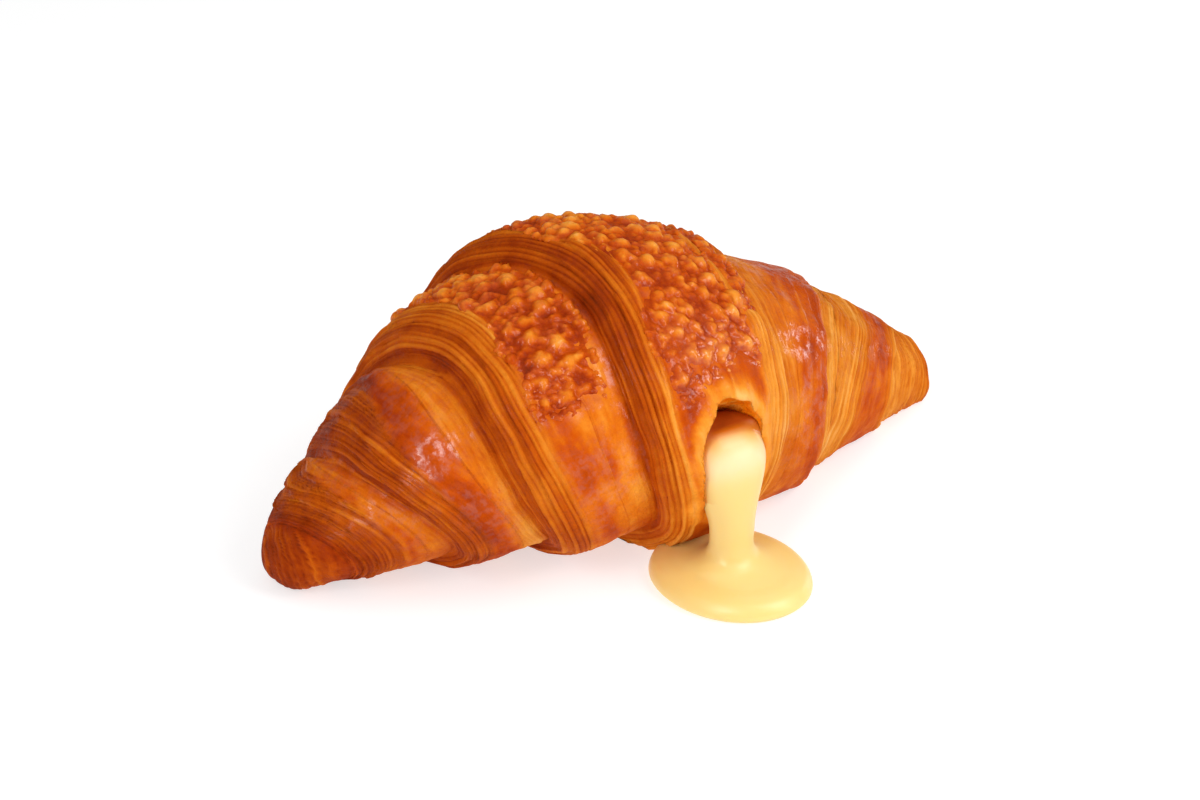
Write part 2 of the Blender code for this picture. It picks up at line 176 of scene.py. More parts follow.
def seam_at(values, angle):
    """Distance of a seam from the middle: a smooth closed line through its four places."""
    front, foot, back, crown, lean = values
    turn = angle - FRONT
    mean = (front + foot + back + crown) / 4
    once = (front - back) / 2 * np.cos(turn) + (foot - crown) / 2 * np.sin(turn)
    twice = (front - foot + back - crown) / 4 * np.cos(2 * turn) + lean * np.sin(2 * turn)
    return mean + once + twice


def wall_width(front, extra, angle):
    """Width of a wall, which is widest at the crown."""
    return front + extra * ((1 + np.cos(angle - CROWN)) / 2) ** CROWN_POWER


def shoulder(share):
    """Rises from 0 at a seam to 1 on the crest, as a rounded edge does."""
    share = np.clip(share, 0, 1)
    return (1 - (1 - share) ** SHOULDER_POWER) ** (1 / SHOULDER_POWER)


def dough_radius(x, angle):
    """Radius of the dough about its centre line, with its steps and rounded tips."""
    radius = spline(STATIONS, ENVELOPE, x)
    for side, seams, steps in ((-1, LEFT_SEAMS, LEFT_STEPS), (1, RIGHT_SEAMS, RIGHT_STEPS)):
        for values, (depth, front, extra) in zip(seams, steps):
            share = (seam_at(values, angle) - side * x) / wall_width(front, extra, angle)
            radius = radius - depth * (1 - shoulder(share))
    to_end = np.where(x < 0, x - STATIONS[0], STATIONS[-1] - x)
    cap = np.where(x < 0, LEFT_CAP, RIGHT_CAP)
    share = np.clip(to_end / cap, 0, 1)
    return radius * np.sqrt(1 - (1 - share) ** 2)


def on_dough(x, angle, radius):
    """Point at that radius from the roll's bent centre line, before the base is flattened."""
    back = spline(BEND_STATIONS, BEND, x)
    ahead = spline(BEND_STATIONS, BEND, x + SLOPE_REACH)
    slope = (ahead - spline(BEND_STATIONS, BEND, x - SLOPE_REACH)) / (2 * SLOPE_REACH)
    length = np.sqrt(1 + slope**2)
    sideways = -radius * np.sin(angle) * WIDE
    height = spline(STATIONS, CENTRE_HEIGHT, x) + radius * np.cos(angle) * TALL
    return np.stack([x - sideways * slope / length, back + sideways / length, height], -1)


def smooth(low, high, value):
    """Rises smoothly from 0 at low to 1 at high, or falls if low is the larger."""
    t = np.clip((value - low) / (high - low), 0, 1)
    return t * t * (3 - 2 * t)


def waves(seed, size, *coords):
    """A smooth random field, mostly within -1..1, with features of about that size."""
    draw = np.random.default_rng(seed)
    total = 0.0
    for _ in range(WAVE_COUNT):
        way = draw.normal(size=len(coords))
        way *= draw.uniform(*WAVE_SPREAD) * pi / size / np.linalg.norm(way)
        phase = draw.uniform(0, TURN)
        total = total + np.sin(sum(w * c for w, c in zip(way, coords)) + phase)
    return total / sqrt(2 * WAVE_COUNT)


def field(values, *coords):
    """A random field from its three values: strength, seed and size."""
    strength, seed, size = values
    return strength * waves(seed, size, *coords)


def apart(points):
    """X, Y and Z of points, each as an array."""
    return points[..., 0], points[..., 1], points[..., 2]


def signed(angle):
    """The same angles, counted either way from the top."""
    return np.where(angle > pi, angle - TURN, angle)


def grid_normals(points):
    """Outward normals of a grid that runs along the roll, then round it."""
    along = np.gradient(points, axis=0)
    around = np.roll(points, -1, 1) - np.roll(points, 1, 1)
    normal = np.cross(around, along)
    length = np.linalg.norm(normal, axis=-1, keepdims=True)
    return normal / np.maximum(length, 1e-9)


def placed(points):
    """Millimetres from the middle of the roll to metres in the part's frame."""
    return (points - OUTLINE_CENTRE) * MM


def coordinates(obj):
    """An object's points in millimetres from the middle of the roll."""
    co = np.zeros(len(obj.data.vertices) * 3)
    obj.data.vertices.foreach_get("co", co)
    return co.reshape(-1, 3) / MM + OUTLINE_CENTRE


def mesh_from(name, points, faces):
    """An object from points in millimetres and faces."""
    mesh = bpy.data.meshes.new(name)
    mesh.from_pydata(placed(points).tolist(), [], faces)
    mesh.update()
    obj = bpy.data.objects.new(name, mesh)
    bpy.context.scene.collection.objects.link(obj)
    return obj


def ring_faces(rings, sides):
    """Quads between rings of points numbered ring by ring, with open ends."""
    i = np.arange(rings - 1)[:, None] * sides
    j = np.arange(sides)[None, :]
    k = (j + 1) % sides
    quads = np.stack([i + j, i + k, i + sides + k, i + sides + j], -1).reshape(-1, 4)
    return quads.tolist()


def turn_outwards(obj):
    """Turns all faces of a closed mesh outwards."""
    bm = bmesh.new()
    bm.from_mesh(obj.data)
    bmesh.ops.recalc_face_normals(bm, faces=bm.faces)
    bm.to_mesh(obj.data)
    bm.free()


def lofted(name, rings):
    """A closed skin over rings of points. A flat cap closes each end."""
    points = np.array(rings, float)
    count, sides = points.shape[:2]
    faces = ring_faces(count, sides)
    faces.append(list(range(sides))[::-1])
    faces.append([(count - 1) * sides + i for i in range(sides)])
    obj = mesh_from(name, points.reshape(-1, 3), faces)
    turn_outwards(obj)
    return obj


def core(name, gap=0.0):
    """The rounded core of cheese inside the roll, smaller by a gap."""
    angles = np.linspace(0, TURN, CORE_LINES, endpoint=False)
    long, deep, tall = (radius - gap for radius in CORE_RADII)
    rings = []
    for along in np.linspace(-pi / 2, pi / 2, CORE_LINES)[1:-1]:
        x = np.full(CORE_LINES, CORE_CENTRE[0] + long * sin(along))
        y = CORE_CENTRE[1] + deep * cos(along) * np.sin(angles)
        z = CORE_CENTRE[2] + tall * cos(along) * np.cos(angles)
        rings.append(np.stack([x, y, z], -1))
    return lofted(name, rings)


def attribute(obj, name, values, kind="FLOAT"):
    """Gives each point a value that the materials read."""
    layer = obj.data.attributes.new(name, kind, "POINT")
    key = "vector" if kind == "FLOAT_VECTOR" else "value"
    layer.data.foreach_set(key, np.asarray(values, np.float32).ravel())


def boolean(target, operation, others):
    """Joins others to the target or cuts them from it, then removes them."""
    for other in others:
        modifier = target.modifiers.new(operation.title(), "BOOLEAN")
        modifier.operation = operation
        modifier.object = other
        modifier.solver = "EXACT"
    graph = bpy.context.evaluated_depsgraph_get()
    mesh = bpy.data.meshes.new_from_object(target.evaluated_get(graph))
    target.modifiers.clear()
    target.data = mesh
    for other in others:
        bpy.data.objects.remove(other, do_unlink=True)


def split_large_faces(bm):
    """Splits faces with more than four corners."""
    large = [face for face in bm.faces if len(face.verts) > 4]
    bmesh.ops.triangulate(bm, faces=large, ngon_method="BEAUTY")


def close_slivers(obj):
    """Removes the slivers that a cut leaves along its edge."""
    bm = bmesh.new()
    bm.from_mesh(obj.data)
    bmesh.ops.remove_doubles(bm, verts=bm.verts, dist=WELD * MM)
    for _ in range(SLIVER_ROUNDS):
        split_large_faces(bm)
        bmesh.ops.dissolve_degenerate(bm, edges=bm.edges, dist=WELD * MM)
    split_large_faces(bm)
    bm.to_mesh(obj.data)
    bm.free()


def blunt(value, power):
    """A sine or cosine bent so that its oval has fuller corners; 2 leaves it an ellipse."""
    return np.sign(value) * np.abs(value) ** (2 / power)


def hole_section(y):
    """Height of the hole's middle at a depth, and its reach up and sideways."""
    table = np.array(HOLE_SECTIONS)
    return [np.interp(y, table[:, 0], table[:, column]) for column in (1, 2, 3)]


def hole_measure(points):
    """1 on the hole's edge, less inside it and more outside."""
    height, tall, wide = hole_section(points[..., 1])
    sideways = np.abs(points[..., 0] - HOLE_X) / wide
    upwards = np.abs(points[..., 2] - height) / tall
    return (sideways**HOLE_BLUNT + upwards**HOLE_BLUNT) ** (1 / HOLE_BLUNT)


def hole_rings(inset, depths, level=None, ragged=False):
    """Sections of the hole at given depths, smaller by inset and cut off at the cheese's level."""
    rings = []
    for depth in depths:
        height, tall, wide = hole_section(depth)
        x = (wide - inset) * blunt(np.sin(HOLE_ANGLES), HOLE_BLUNT)
        y = np.full(HOLE_SIDES, depth)
        z = (tall - inset) * blunt(np.cos(HOLE_ANGLES), HOLE_BLUNT)
        if ragged:
            rough = 1
            for values in HOLE_ROUGH:
                rough = rough + field(values, x, z, y)
            x = x * rough
            z = z * rough
        z = z + height
        if level:
            top = np.interp(depth, *zip(*level))
            high = np.maximum(z - (top - LEVEL_ROUND), 0)
            z = np.where(high > 0, top - LEVEL_ROUND * np.exp(-high / LEVEL_ROUND), z)
        rings.append(np.stack([HOLE_X + x, y, z], -1))
    return rings


def row_angles():
    """Angles of the rows round the roll, closer where it is seen."""
    seen = np.linspace(SEEN_FROM, SEEN_TO, SEEN_ROWS, endpoint=False)
    hidden = np.linspace(SEEN_TO, SEEN_FROM + TURN, HIDDEN_ROWS, endpoint=False)
    return np.concatenate([seen, hidden])


def side_lines(seams, steps, plan, tip_lines, end):
    """Grid lines of one side from the middle to the tip: distance at each row, and zone.

    The zone is 0 at the middle, 1 at the first lip, 2 at the first seam, 3 at the second lip and so on.
    """
    angles = row_angles()
    lines = []
    zones = []
    inner = np.zeros_like(angles)
    for number, (values, (_, front, extra), (crest, wall_count)) in enumerate(zip(seams, steps, plan)):
        edge = seam_at(values, angles)
        wall = np.minimum(wall_width(front, extra, angles), WALL_MOST * (edge - inner))
        for share in np.arange(crest) / crest:
            lines.append(inner + (edge - wall - inner) * share)
            zones.append(2 * number + share)
        for turn in np.linspace(0, pi / 2, wall_count + 1):
            share = 1 - (WALL_TURN * sin(turn) + (1 - WALL_TURN) * turn * 2 / pi)
            lines.append(edge - wall * share)
            zones.append(2 * number + 2 - share)
        inner = edge + SEAM_GAP
    for share in np.linspace(0, 1, tip_lines):
        reach = end - TIP_GAP - inner
        lines.append(inner + reach * (1 - (1 - share) ** TIP_POWER))
        zones.append(2 * len(seams) + share)
    return np.array(lines), np.array(zones)


def crust_grid():
    """Distance along the roll and zone of each grid line, from the left tip to the right one."""
    left, left_zones = side_lines(LEFT_SEAMS, LEFT_STEPS, LEFT_PLAN, LEFT_TIP, -STATIONS[0])
    right, right_zones = side_lines(RIGHT_SEAMS, RIGHT_STEPS, RIGHT_PLAN, RIGHT_TIP, STATIONS[-1])
    lines = np.concatenate([-left[:0:-1], right])
    zones = np.concatenate([-left_zones[:0:-1], right_zones])
    return lines, zones


# Looks of each zone: place, strength of the layer lines, how far it is baked, and gloss.
LEFT_LOOKS = (
    (0, 0, 0.64, 0.8), (0.86, 0.05, 0.64, 0.8), (0.95, 0.5, 0.52, 0.4), (1, 0.8, 0.44, 0.2),
    (1.1, 1, 0.52, 0.1), (1.5, 1, 0.58, 0.1), (1.97, 1, 0.68, 0.1), (2.02, 0.5, 0.66, 0.5),
    (2.15, 0.3, 0.51, 0.8), (2.4, 0.2, 0.55, 0.8), (2.8, 0.1, 0.66, 0.9), (2.93, 0.5, 0.6, 0.5),
    (3, 0.9, 0.54, 0.2), (3.1, 1, 0.56, 0.1), (3.9, 1, 0.62, 0.1), (4, 1, 0.68, 0.1),
    (4.1, 0.8, 0.52, 0.2), (4.35, 0.55, 0.5, 0.6), (4.58, 0.2, 0.66, 1), (4.75, 0.2, 0.77, 1),
    (4.87, 0.2, 0.8, 1), (4.97, 0.8, 0.72, 0.6), (5.05, 1.3, 0.68, 0.3), (5.95, 1.3, 0.74, 0.2),
    (6.05, 0.6, 0.66, 0.6), (6.35, 0.3, 0.56, 1), (6.8, 0.5, 0.62, 1), (6.95, 1.2, 0.66, 0.7),
    (7.1, 1.6, 0.66, 0.5), (7.85, 1.5, 0.74, 0.4), (7.97, 0.5, 0.86, 0.3), (8.03, 0.5, 0.86, 0.3),
    (8.2, 0.9, 0.76, 0.4), (9, 1.1, 0.84, 0.4),
)
RIGHT_LOOKS = (
    (0, 0, 0.6, 0.8), (0.8, 0.05, 0.58, 0.8), (0.95, 0.5, 0.42, 0.5), (1.05, 1, 0.4, 0.3),
    (1.95, 1, 0.45, 0.3), (2.05, 0.8, 0.45, 0.4), (2.35, 0.5, 0.52, 0.7), (2.7, 0.15, 0.62, 1),
    (3.4, 0.12, 0.66, 1), (3.85, 0.25, 0.66, 0.8), (3.97, 0.6, 0.52, 0.4), (4.06, 1, 0.43, 0.3),
    (5, 1, 0.43, 0.3), (5.85, 1, 0.47, 0.3), (6, 0.6, 0.62, 0.6), (6.3, 0.2, 0.7, 0.8),
    (7, 0.3, 0.68, 0.7), (7.6, 0.8, 0.5, 0.4), (8, 1, 0.46, 0.3), (8.6, 1, 0.52, 0.4),
    (9, 0.8, 0.66, 0.5),
)


def zone_looks(zones):
    """Strength of the layer lines, bake and gloss of each grid line."""
    left = np.array(LEFT_LOOKS)
    right = np.array(RIGHT_LOOKS)
    found = []
    for column in (1, 2, 3):
        on_left = np.interp(-zones, left[:, 0], left[:, column])
        on_right = np.interp(zones, right[:, 0], right[:, column])
        found.append(np.where(zones < 0, on_left, on_right)[:, None])
    return found


# The cut dough layers. Each warp is a field, and how much it stretches the depth.
LAYER_SEED = 5
LAYER_COUNT = 60
LAYER_START = 32.0
LAYER_WIDTH = (0.75, 1.75)
LAYER_RISE = (0.45, 1.0)
LAYER_PACE = (1, 5)
LAYER_FADING = 0.3
LAYER_POWER = 2.4
LAYER_WARPS = (((0.9, 3, 26.0), 1.6), ((0.3, 4, 9.0), 1.0))
MEAN_RADIUS = 35.0


def round_roll(angle):
    """Two coordinates that meet again after one turn, in millimetres."""
    return np.cos(angle) * MEAN_RADIUS, np.sin(angle) * MEAN_RADIUS


def layer_lines(depth, seam, angle):
    """Ridges of the cut layers at a depth from a seam: height, tone and warped depth."""
    draw = np.random.default_rng(LAYER_SEED)
    warped = depth
    for values, stretch in LAYER_WARPS:
        warped = warped + field(values, depth * stretch, *round_roll(angle))
    height = np.zeros_like(depth)
    tone = np.zeros_like(depth)
    for number in np.unique(seam):
        edges = np.cumsum(draw.uniform(*LAYER_WIDTH, LAYER_COUNT)) - LAYER_START
        rise = draw.uniform(*LAYER_RISE, LAYER_COUNT + 1)
        shade = draw.uniform(-1, 1, LAYER_COUNT + 1)
        pace = draw.integers(*LAYER_PACE, LAYER_COUNT + 1)
        phase = draw.uniform(0, TURN, LAYER_COUNT + 1)
        here = seam == number
        i = np.clip(np.searchsorted(edges, warped[here]), 1, LAYER_COUNT - 1)
        t = (warped[here] - edges[i - 1]) / (edges[i] - edges[i - 1])
        fading = 1 - LAYER_FADING + LAYER_FADING * np.sin(pace[i] * angle[here] + phase[i])
        height[here] = (1 - np.abs(2 * t - 1) ** LAYER_POWER) * rise[i] * fading
        tone[here] = shade[i] * fading
    return height, tone, warped


# A crest's start belongs to the seam before it. The layers lie closer on the left tip.
CREST_START = 0.45
TIP_PITCH = 0.6


def seam_depth(zones, arcs):
    """How far each grid point is from its seam along the surface, and that seam's number."""
    depth = np.zeros_like(arcs)
    seam = np.zeros(arcs.shape, int)
    seams = len(LEFT_SEAMS)
    for line, zone in enumerate(zones):
        side = -1 if zone < 0 else 1
        place = abs(zone)
        own = min(int(place) // 2 + 1, seams + 1)
        if own <= seams:
            if place % 2 < CREST_START and place >= 2:
                own -= 1
            foot = np.argmin(np.abs(zones - side * 2 * own))
        else:
            foot = 0 if side < 0 else len(zones) - 1
        depth[line] = (arcs[foot] - arcs[line]) * side
        seam[line] = own * side
    left_tip = (zones[:, None] < -2 * seams) & (seam == -seams - 1)
    return np.where(left_tip, depth * TIP_PITCH, depth), seam


# The thicker layers of a wall: where they lie between its seam and its lip, and their height.
STEP_EDGES = (0.0, 0.2, 0.5, 1.0)
STEP_HEIGHT = 0.6
STEP_START = 0.05
STEP_WANDER = (0.06, 25, 14.0)


def layer_steps(zone, points):
    """Steps of the thicker layers: each rises at its outer edge and falls away inwards."""
    place = np.abs(zone)
    wall = np.where((place < 2 * len(LEFT_SEAMS)) & (place % 2 > 1), 2 - place % 2, 1.0)
    share = np.clip(wall + field(STEP_WANDER, *apart(points)), 0, 1)
    relief = np.zeros_like(share)
    for low, high in zip(STEP_EDGES[:-1], STEP_EDGES[1:]):
        inside = (share >= low) & (share < high)
        relief = np.where(inside, STEP_HEIGHT * (0.5 - (share - low) / (high - low)), relief)
    return relief * np.clip(share / STEP_START, 0, 1) * (wall < 1)


# Forms of the crust in millimetres, and the raised rim of the hole.
LAYER_HEIGHT = 0.5
LAYER_MIDDLE = 0.6
SWELL = (0.3, 21, 9.0)
GRAIN = (22, 3.2)
GRAIN_MATT = 0.08
GRAIN_GLOSS = 0.04
NOTCHES = ((4.05, 1.7), (6.05, 0.7), (2.05, 0.5))
NOTCH_WIDTH = 0.2
NOTCH_ANGLES = (0.9, -0.3)
TIP_SMOOTH = 1.5
RIM_EDGE = (1.5, 1.16)
RIM_RAGGED = (0.14, 24, 4.0)
RIM_BEFORE = -20
RIM_CALM = 0.75
RIM_LIFT = 0.6
RIM_BUMPS = (0.55, 23, 3.0)


def hole_rim(points):
    """1 on the rim of the hole, 0 away from it."""
    measure = hole_measure(points) + field(RIM_RAGGED, *apart(points))
    return smooth(*RIM_EDGE, measure) * (points[..., 1] < RIM_BEFORE)


def crust_lift(points, lines, angle, zone, ridge, strength, gloss, rim):
    """How far the fine forms stand out from the dough."""
    around = apart(points)
    lift = LAYER_HEIGHT * strength * (ridge - LAYER_MIDDLE) * (1 - RIM_CALM * rim)
    lift += layer_steps(zone, points)
    lift += field(SWELL, *around) + (GRAIN_MATT + GRAIN_GLOSS * gloss) * waves(*GRAIN, *around)
    lift += rim * (RIM_LIFT + field(RIM_BUMPS, *around))
    upper = smooth(*NOTCH_ANGLES, angle)
    for foot, deep in NOTCHES:
        lift -= deep * np.exp(-(((-zone - foot) / NOTCH_WIDTH) ** 2)) * upper
    inside_tip = np.minimum(lines - STATIONS[0], STATIONS[-1] - lines)
    return lift * smooth(0.0, TIP_SMOOTH, inside_tip)


# How the bake changes with height; the layers' own tone, and painted shade on them, darker in the grooves
# between their ridges and lighter on their tops; the first two left walls, darker higher up on the first
# and lower down on the second; and the rim.
HEIGHT_BAKE = 0.07
BAKE_HEIGHTS = (18, 62)
TONE_BAKE = 0.08
RIDGE_SHADE = 0.19
RIDGE_MIDDLE = 0.55
WALL_1_BAKE, WALL_1_HEIGHTS = 0.06, (20, 60)
WALL_2_BAKE, WALL_2_HEIGHTS = 0.08, (32, 14)
RIM_BAKE = (0.24, 0.4)
RIM_HEIGHTS = (40, 27)
RIM_SHARE = 0.8


def crust_bake(height, zone, bake, strength, ridge, tone, rim):
    """How far each grid point is baked, 0 for pale dough and 1 for the darkest crust, with painted shade
    in the layer grooves.
    """
    bake = bake + HEIGHT_BAKE * smooth(*BAKE_HEIGHTS, height) - HEIGHT_BAKE / 2
    # Painted shade: the grooves between the layer ridges are darker, their tops lighter.
    bake = bake + np.minimum(strength, 1.0) * (TONE_BAKE * tone - RIDGE_SHADE * (ridge - RIDGE_MIDDLE))
    first_wall = (zone < -1) & (zone > -2)
    second_wall = (zone < -3) & (zone > -4)
    bake = bake + WALL_1_BAKE * (2 * smooth(*WALL_1_HEIGHTS, height) - 1) * first_wall
    bake = bake + WALL_2_BAKE * smooth(*WALL_2_HEIGHTS, height) * second_wall
    upper, lower = RIM_BAKE
    rim_bake = upper + (lower - upper) * smooth(*RIM_HEIGHTS, height)
    return bake + (rim_bake - bake) * RIM_SHARE * rim


# Where the crust is matt, and how far from the grid a cut point counts as bread.
RIM_MATT = 0.7
GLOSS_HEIGHTS = (9, 30)
GLOSS_ANGLES = (-0.5, 0.15)
GLOSS_BEHIND = 0.3
LAYERS_MOST = 1.2
SEAM_SHIFT = 50.0
BREAD_FROM = (0.15, 0.8)
TIP_CRUST = 2


def crust_gloss(height, angle, gloss, rim):
    """Gloss is less on the rim, near the table and behind the roll."""
    facing = GLOSS_BEHIND + (1 - GLOSS_BEHIND) * smooth(*GLOSS_ANGLES, angle)
    return gloss * (1 - RIM_MATT * rim) * smooth(*GLOSS_HEIGHTS, height) * facing


def crust_faces(lines, sides):
    """Faces of the closed grid: quads between its lines and a fan at each tip."""
    faces = ring_faces(lines, sides)
    left_tip = lines * sides
    last_line = (lines - 1) * sides
    for i in range(sides):
        j = (i + 1) % sides
        faces.append([j, i, left_tip])
        faces.append([last_line + i, last_line + j, left_tip + 1])
    return faces


def nearest_points(points, wanted):
    """Number of the point nearest to each wanted one, and how far off it is."""
    tree = kdtree.KDTree(len(points))
    for number, point in enumerate(points):
        tree.insert(point, number)
    tree.balance()
    found = [tree.find(point) for point in wanted]
    return np.array([hit[1] for hit in found]), np.array([hit[2] for hit in found])


def make_crust():
    """The crust with its hole, and the looks of its points."""
    lines, zones = crust_grid()
    angle = np.broadcast_to(row_angles(), lines.shape)
    zone = np.broadcast_to(zones[:, None], lines.shape)
    strength, bake, gloss = zone_looks(zones)
    points = on_dough(lines, angle, dough_radius(lines, angle) - crumb_bed(lines, signed(angle)))
    steps = np.linalg.norm(np.diff(points, axis=0), axis=-1)
    arcs = np.concatenate([np.zeros_like(lines[:1]), np.cumsum(steps, axis=0)])
    depth, seam = seam_depth(zones, arcs)
    ridge, tone, warped = layer_lines(depth, seam, angle)
    rim = hole_rim(points)
    lift = crust_lift(points, lines, signed(angle), zone, ridge, strength, gloss, rim)
    fine = points + grid_normals(points) * lift[..., None]
    fine[..., 2] = np.maximum(fine[..., 2], 0)

    flat = fine.reshape(-1, 3)
    tips = [on_dough(x, 0.0, 0.0) for x in (STATIONS[0], STATIONS[-1])]
    crust = mesh_from("croissant_crust", np.concatenate([flat, tips]), crust_faces(*lines.shape))
    turn_outwards(crust)
    hole = lofted("hole", hole_rings(0.0, np.linspace(*HOLE_CUT), ragged=True))
    boolean(crust, "DIFFERENCE", [hole, core("core_space")])
    close_slivers(crust)

    # Each point looks like the grid point nearest to it; those cut into the dough are bread.
    found = coordinates(crust)
    nearest, distance = nearest_points(flat, found)
    inner = smooth(*BREAD_FROM, distance)
    inner[(found[:, 0] < STATIONS[0] + TIP_CRUST) | (found[:, 0] > STATIONS[-1] - TIP_CRUST)] = 0
    height = points[..., 2]
    # The bake carries the painted shade of the layer grooves.
    looks = {
        "bake": crust_bake(height, zone, bake, strength, ridge, tone, rim),
        "layers": np.minimum(strength, LAYERS_MOST) * (1 - rim),
        "gloss": crust_gloss(height, signed(angle), gloss, rim),
    }
    for name, values in looks.items():
        attribute(crust, name, values.reshape(-1)[nearest])
    attribute(crust, "inner", inner)
    grain = np.stack([warped + SEAM_SHIFT * seam, *round_roll(angle)], -1)
    attribute(crust, "grain", grain.reshape(-1, 3)[nearest], "FLOAT_VECTOR")
    crust.data.shade_smooth()
    return crust


# The crumbs lie on a grid over the roll, where one radian round it counts as 38 mm.
CRUMB_STEP = 0.38
RADIAN = 38.0
CRUMB_TURN = CRUMB_STEP / RADIAN
CRUMB_FROM, CRUMB_TO = np.radians((-86, 74))
CRUMB_LEFT = -64.0
CRUMB_RIGHT = 42.0
BED_EDGE = (-0.4, 1.6)

# Each run of crumbs: how many are tried, least and largest radius, and height as a share of it.
CRUMB_SEED = 11
CRUMBS = ((1500, 1.4, 2.6, 0.8), (3600, 0.85, 1.3, 0.95), (7000, 0.5, 0.8, 1.0))
CRUMB_TALL = (0.8, 1.15)
CRUMB_FADE = 2.6
CRUMB_OVER = 0.8
CRUMB_LEAST = 0.6
CRUMB_APART = 0.64
CRUMB_REACH = 1.5
CRUMB_MARGIN = 3
CRUMB_DOME = 1.15
CRUMB_ROUND = 0.85
CRUMB_SUNK = 0.35
GROUND_SHARE = 0.7
GROUND_LIMITS = (-0.1, 1.1)

# Edges of the regions with crumbs: the centre, the side to its left and the strip on its right.
BACK_MARGIN = 3.0
BACK_ANGLES = (-0.1, -0.5)
BACK_SHIFT = 4.0
LIP_MARGIN = 0.2
OVER_LIP = 8.0
OVER_FRONT = np.radians((24, -8))
OVER_BACK = np.radians((-38, -20))
CENTRE_RIGHT = 0.5
CENTRE_LOW, SIDE_LOW, SIDE_BACK, STRIP_LOW = np.radians((68, 60, -50, 44))
BARE_SIDE = 1.5
BARE_ANGLE = radians(77)
BARE_RADII = (9.6, 11.5)
BARE_SCALE = 10.0
SIDE_GAP = 1.4
STRIP_LEFT = 1.2
STRIP_RIGHT = 3.2

# The sheet that the crumbs are part of.
SHEET_EDGE = (-0.6, 1.4)
SHEET_SUNK = 0.85
SHEET_REACH = -0.9
SHEET_DEPTH = 1.1
EDGE_WANDER = (0.9, 44, 6.0)
CRUMB_WANDER = 0.28
CRUMB_WANDERS = ((41, 2.4), (42, 2.4), (43, 2.4))
CRUMB_GRAIN = (0.08, 45, 1.3)
GRAIN_FROM = 0.2
SMOOTH_KEPT = 0.7
SMOOTH_SHARED = 0.15
EDGE_SHADE = 0.85
EDGE_FROM = (1.8, -0.2)
EDGE_SHARE = 0.3
BELOW = -1.0
GLAZE_ANGLE = radians(60)
GLAZE_RADIUS = 8.5

# A grid cell's four sides: where its neighbour lies, and the two corners that they share.
CELL_SIDES = (
    ((-1, 0), (0, 0), (0, 1)),
    ((1, 0), (1, 1), (1, 0)),
    ((0, -1), (1, 0), (0, 0)),
    ((0, 1), (0, 1), (1, 1)),
)


def topped(x, angle):
    """Millimetres inside the nearest region with crumbs, negative outside it."""
    inner = seam_at(LEFT_SEAMS[0], angle)
    first_lip = wall_width(*LEFT_STEPS[0][1:], angle) - inner
    second_lip = wall_width(*LEFT_STEPS[1][1:], angle) - seam_at(LEFT_SEAMS[1], angle)
    right_foot = seam_at(RIGHT_SEAMS[0], angle)
    right_lip = right_foot - wall_width(*RIGHT_STEPS[0][1:], angle)
    top = (angle - CRUMB_FROM) * RADIAN - BACK_MARGIN
    behind = BACK_SHIFT * smooth(*BACK_ANGLES, angle)
    over = OVER_LIP * smooth(*OVER_FRONT, angle) * smooth(*OVER_BACK, angle)
    low = -inner - SIDE_GAP - SIDE_GAP * np.maximum(0, np.sin(angle))
    round_hole = (angle - BARE_ANGLE) * RADIAN / BARE_RADII[1]
    from_hole = np.hypot((x - HOLE_X - BARE_SIDE) / BARE_RADII[0], round_hole)
    centre = (
        x - first_lip - LIP_MARGIN + over,
        right_lip - CENTRE_RIGHT + behind - x,
        (CENTRE_LOW - angle) * RADIAN,
        (from_hole - 1) * BARE_SCALE,
    )
    side = (
        x - second_lip - LIP_MARGIN,
        low - x,
        (SIDE_LOW - angle) * RADIAN,
        (angle - SIDE_BACK) * RADIAN,
    )
    strip = (
        x - right_lip - STRIP_LEFT + behind,
        right_foot - STRIP_RIGHT - x,
        (STRIP_LOW - angle) * RADIAN,
    )
    return np.max([np.min(edges + (top,), axis=0) for edges in (centre, side, strip)], axis=0)


def crumb_bed(x, angle):
    """How far the crust lies lower under the crumbs, up to 1 mm."""
    return smooth(*BED_EDGE, topped(x, angle)) * (angle < pi / 2)


def heap_crumbs(height, inside, base, shifted):
    """Raises the heights to round crumbs. Gives each point's crumb, or -1, and their tones."""
    covered = np.full(height.shape, -1)
    draw = np.random.default_rng(CRUMB_SEED)
    tones = []
    for count, small, large, flatness in CRUMBS:
        centres = np.zeros((0, 3))
        radii = np.zeros(0)
        for size in np.sort(draw.uniform(small, large, count))[::-1]:
            i = int((draw.uniform(CRUMB_LEFT, CRUMB_RIGHT) - CRUMB_LEFT) / CRUMB_STEP)
            j = int((draw.uniform(CRUMB_FROM, CRUMB_TO) - CRUMB_FROM) / CRUMB_TURN)
            tall = size * flatness * draw.uniform(*CRUMB_TALL)
            tone = draw.uniform(-1, 1)
            fade = draw.uniform(0, 1) ** 2 * CRUMB_FADE - CRUMB_OVER
            if inside[i, j] < size - CRUMB_LEAST + fade:
                continue
            centre = base[i, j]
            if np.any(np.linalg.norm(centres - centre, axis=1) < CRUMB_APART * (size + radii)):
                continue
            centres = np.vstack([centres, centre])
            radii = np.append(radii, size)
            reach = int(size / CRUMB_STEP * CRUMB_REACH) + CRUMB_MARGIN
            window = np.s_[max(i - reach, 0) : i + reach + 1, max(j - reach, 0) : j + reach + 1]
            distance = np.linalg.norm(shifted[window] - shifted[i, j], axis=-1) / size
            ground = np.clip(height[i, j], *GROUND_LIMITS) * GROUND_SHARE
            dome = np.maximum(0, 1 - distance**2) ** CRUMB_ROUND
            bump = ground + tall * (CRUMB_DOME * dome - CRUMB_SUNK)
            higher = (distance < 1) & (bump > height[window])
            height[window][higher] = bump[higher]
            covered[window][higher] = len(tones)
            tones.append(tone)
    return covered, tones


